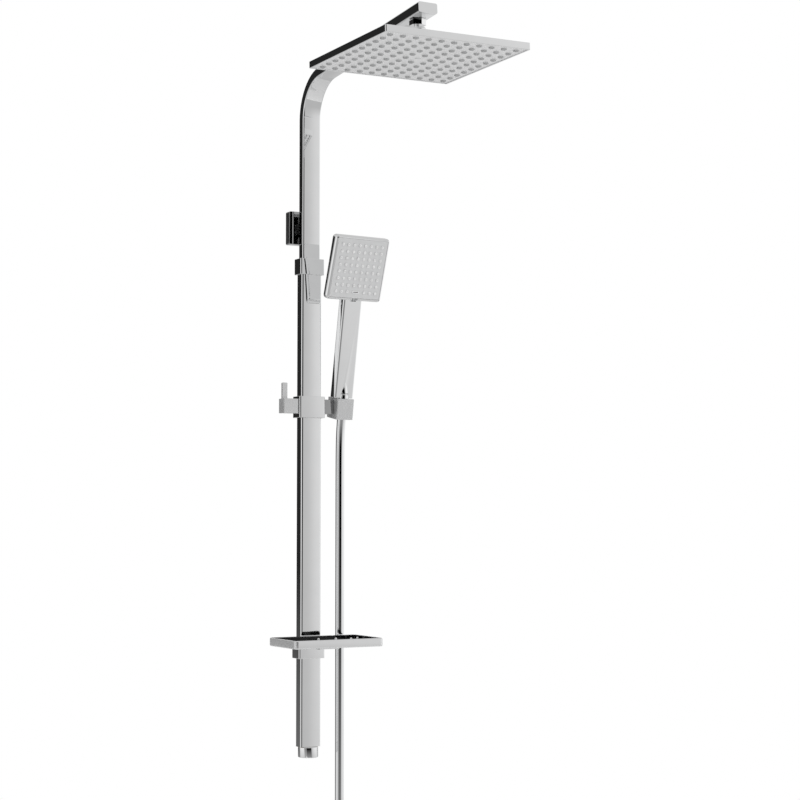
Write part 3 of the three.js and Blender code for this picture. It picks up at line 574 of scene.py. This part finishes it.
# The CAD's nodes under each finish.
CAD_FINISH = {
    "chrome": """riser_tube arm_end_cap arm_outlet_ball rose_swivel_nut rose_shell lower_column
        column_collar column_union_nut slider_sleeve hand_shower_body hand_inlet hose_cone_nut
        shelf_clamp hose_end_nut""",
    "satin": "lock_hub lock_lever holder_block",
    # These take the darker copy of the chrome, painted shade.
    "side": "holder_arm wall_flange flange_neck",
    "tray": "shelf_frame",
    "steel": """wall_base_plate wall_screw_left wall_screw_right flange_grub_screw rose_filter_screen
        rose_backing_plate collar_grub_screw lock_spindle holder_pivot_bolt
        shelf_grub_screw shelf_rivet_left shelf_rivet_right""",
    "brass": "telescope_gland rose_swivel_seat column_end_insert",
    "rose": "rose_centre_screw",
    "rubber": """gland_seal_upper gland_seal_lower rose_ball_washer rose_gasket union_washer brake_pad
        cone_nut_washer hose_end_washer hank_tie""",
    "plastic": """rose_ball_cup slider_liner hand_backing_plate hand_water_tube hand_flow_limiter
        shelf_clamp_liner""",
    "face": "rose_nozzle_plate hand_nozzle_plate",
    "smoked": "shelf_insert",
    "nozzle": "hand_badge",
    "hose": "hose_tube hose_hank hose_tail",
}


def paint(piece, *names):
    """Fills the piece's material slots in order; its faces keep their slot numbers."""
    slots = piece.data.materials
    for i, name in enumerate(names):
        if i < len(slots):
            slots[i] = finishes[name].material
        else:
            slots.append(finishes[name].material)


# Corners of the CAD's faces this close are one; edges sharper than the angle stay sharp.
MERGE_DISTANCE = 1e-6
SHARP_ANGLE = math.radians(50)


def soft_shading():
    """A node group that joins split corners and shades smooth, except across sharp edges."""
    group = bpy.data.node_groups.new("soft_shading", "GeometryNodeTree")
    group.interface.new_socket("Geometry", in_out="INPUT", socket_type="NodeSocketGeometry")
    group.interface.new_socket("Geometry", in_out="OUTPUT", socket_type="NodeSocketGeometry")
    start = group.nodes.new("NodeGroupInput")
    end = group.nodes.new("NodeGroupOutput")
    merged = group.nodes.new("GeometryNodeMergeByDistance")
    merged.inputs["Distance"].default_value = MERGE_DISTANCE
    faces = group.nodes.new("GeometryNodeSetShadeSmooth")
    edges = group.nodes.new("GeometryNodeSetShadeSmooth")
    edges.domain = "EDGE"
    angle = group.nodes.new("GeometryNodeInputMeshEdgeAngle")
    sharp = group.nodes.new("FunctionNodeCompare")
    sharp.operation = "GREATER_THAN"
    sharp.inputs["B"].default_value = SHARP_ANGLE
    edges.inputs["Shade Smooth"].default_value = False
    group.links.new(start.outputs[0], merged.inputs["Geometry"])
    group.links.new(merged.outputs["Geometry"], faces.inputs["Geometry"])
    group.links.new(faces.outputs["Geometry"], edges.inputs["Geometry"])
    group.links.new(angle.outputs["Unsigned Angle"], sharp.inputs["A"])
    group.links.new(sharp.outputs["Result"], edges.inputs["Selection"])
    group.links.new(edges.outputs["Geometry"], end.inputs[0])
    return group


def dress_cad():
    """Paints every CAD node and softens its shading."""
    shading = soft_shading()
    for finish, names in CAD_FINISH.items():
        for name in names.split():
            piece = nodes[name]
            paint(piece, finish)
            smooth = piece.modifiers.new("soft_shading", "NODES")
            smooth.node_group = shading
            weighted = piece.modifiers.new("weighted", "WEIGHTED_NORMAL")
            weighted.keep_sharp = True
            weighted.weight = 50


# ---- Studio ----
# The room as the chrome sees it: degrees round from the back towards the left, and brightness.
ROOM = [
    (-180, 0.0), (-168, 0.0), (-164, 0.52), (-158, 0.58), (-143, 0.78), (-120, 0.92), (-60, 0.95),
    (-44, 0.9), (-20, 0.7), (8, 0.02), (40, 0.02), (50, 0.45), (60, 0.85), (90, 0.9), (108, 0.85),
    (116, 0.3), (138, 0.25), (142, 0.0), (180, 0.0),
]
# The even tones that the room passes into above and below, and the z of the directions
# between which it does.
ROOM_ABOVE = 0.62
ABOVE_START = 0.35
ABOVE_END = 0.5
ROOM_BELOW = 0.5
BELOW_START = -0.03
BELOW_END = -0.4
# Name, place, target, size and power of each lamp.
LAMPS = [
    ("key", (2.2, -3.2, 1.4), (0, -0.2, -0.2), 2.5, 26),
    ("fill", (-2.6, -2.0, 0.4), (0, -0.2, -0.2), 2.0, 8),
    ("low", (0.7, -2.6, -1.25), (0, -0.4, 0.2), 1.4, 16),
]
# The floor: half its width, and how far it lies below the part.
FLOOR_REACH = 1.5
FLOOR_DROP = 0.02


def toned(tree, color, share, tone):
    """The colour, passing into an even grey tone as share goes from 0 to 1."""
    mix = tree.nodes.new("ShaderNodeMix")
    mix.data_type = "RGBA"
    tree.links.new(share, mix.inputs["Factor"])
    tree.links.new(color, mix.inputs[6])
    mix.inputs[7].default_value = (tone, tone, tone, 1)
    return mix.outputs[2]


def add_world():
    """A white backdrop for the camera; the chrome reflects the room."""
    world = bpy.data.worlds.new("studio")
    bpy.context.scene.world = world
    world.use_nodes = True
    tree = world.node_tree
    tree.nodes.clear()

    def node(kind, operation=None, *values):
        made = tree.nodes.new(kind)
        if operation:
            made.operation = operation
        for socket, value in zip(made.inputs, values):
            if isinstance(value, (int, float)):
                socket.default_value = value
            else:
                tree.links.new(value, socket)
        return made

    direction = node("ShaderNodeTexCoord").outputs["Generated"]
    split = node("ShaderNodeSeparateXYZ", None, direction)
    x, y, z = split.outputs
    left = node("ShaderNodeMath", "MULTIPLY", x, -1.0).outputs[0]
    bearing = node("ShaderNodeMath", "ARCTAN2", left, y).outputs[0]
    share = node("ShaderNodeMath", "MULTIPLY_ADD", bearing, 1 / (2 * math.pi), 0.5).outputs[0]
    ramp = node("ShaderNodeValToRGB", None, share)
    elements = ramp.color_ramp.elements
    elements.remove(elements[1])
    for i, (degrees, tone) in enumerate(ROOM):
        place = degrees / 360 + 0.5
        element = elements[0] if i == 0 else elements.new(place)
        element.position = place
        element.color = (tone, tone, tone, 1)
    above = node("ShaderNodeMapRange", None, z)
    set_range(above, ABOVE_START, ABOVE_END)
    below = node("ShaderNodeMapRange", None, z)
    set_range(below, BELOW_START, BELOW_END)
    room = toned(tree, ramp.outputs["Color"], below.outputs[0], ROOM_BELOW)
    room = toned(tree, room, above.outputs[0], ROOM_ABOVE)
    seen = node("ShaderNodeBackground")
    seen.inputs["Color"].default_value = (1, 1, 1, 1)
    reflected = node("ShaderNodeBackground")
    tree.links.new(room, reflected.inputs["Color"])
    mix = node("ShaderNodeMixShader")
    path = node("ShaderNodeLightPath")
    tree.links.new(path.outputs["Is Camera Ray"], mix.inputs[0])
    tree.links.new(reflected.outputs[0], mix.inputs[1])
    tree.links.new(seen.outputs[0], mix.inputs[2])
    output = node("ShaderNodeOutputWorld")
    tree.links.new(mix.outputs[0], output.inputs["Surface"])


def add_lamp(name, place, target, size, power):
    light = bpy.data.lights.new(name, "AREA")
    light.size = size
    light.energy = power
    lamp = bpy.data.objects.new(name, light)
    lamp.location = place
    lamp.rotation_euler = (Vector(target) - Vector(place)).to_track_quat("-Z", "Y").to_euler()
    lamp.visible_glossy = False
    bpy.context.collection.objects.link(lamp)


def add_floor():
    z = cad_box[0][2] - FLOOR_DROP
    signs = ((-1, -1), (1, -1), (1, 1), (-1, 1))
    corners = [Vector((x * FLOOR_REACH, y * FLOOR_REACH, z)) for x, y in signs]
    floor = mesh_from("pale_floor", corners, [(0, 1, 2, 3)], False)
    material = bpy.data.materials.new("pale_floor")
    material.use_nodes = True
    shader = material.node_tree.nodes["Principled BSDF"]
    shader.inputs["Base Color"].default_value = (0.9, 0.9, 0.9, 1)
    shader.inputs["Roughness"].default_value = 0.9
    floor.data.materials.append(material)


def set_view():
    scene = bpy.context.scene
    scene.view_settings.view_transform = "Standard"
    scene.view_settings.look = "None"


finishes = make_finishes()
add_camera()
paint(add_hose(), "hose")
paint(add_rose_face(), "rose", "bud", "bud", "hole")
paint(add_hand_face(), "face", "flank", "nozzle", "hole")
paint(add_tray_studs(), "chrome")
paint(add_badge_line(), "smoked")
dress_cad()
add_world()
for lamp in LAMPS:
    add_lamp(*lamp)
add_floor()
set_view()
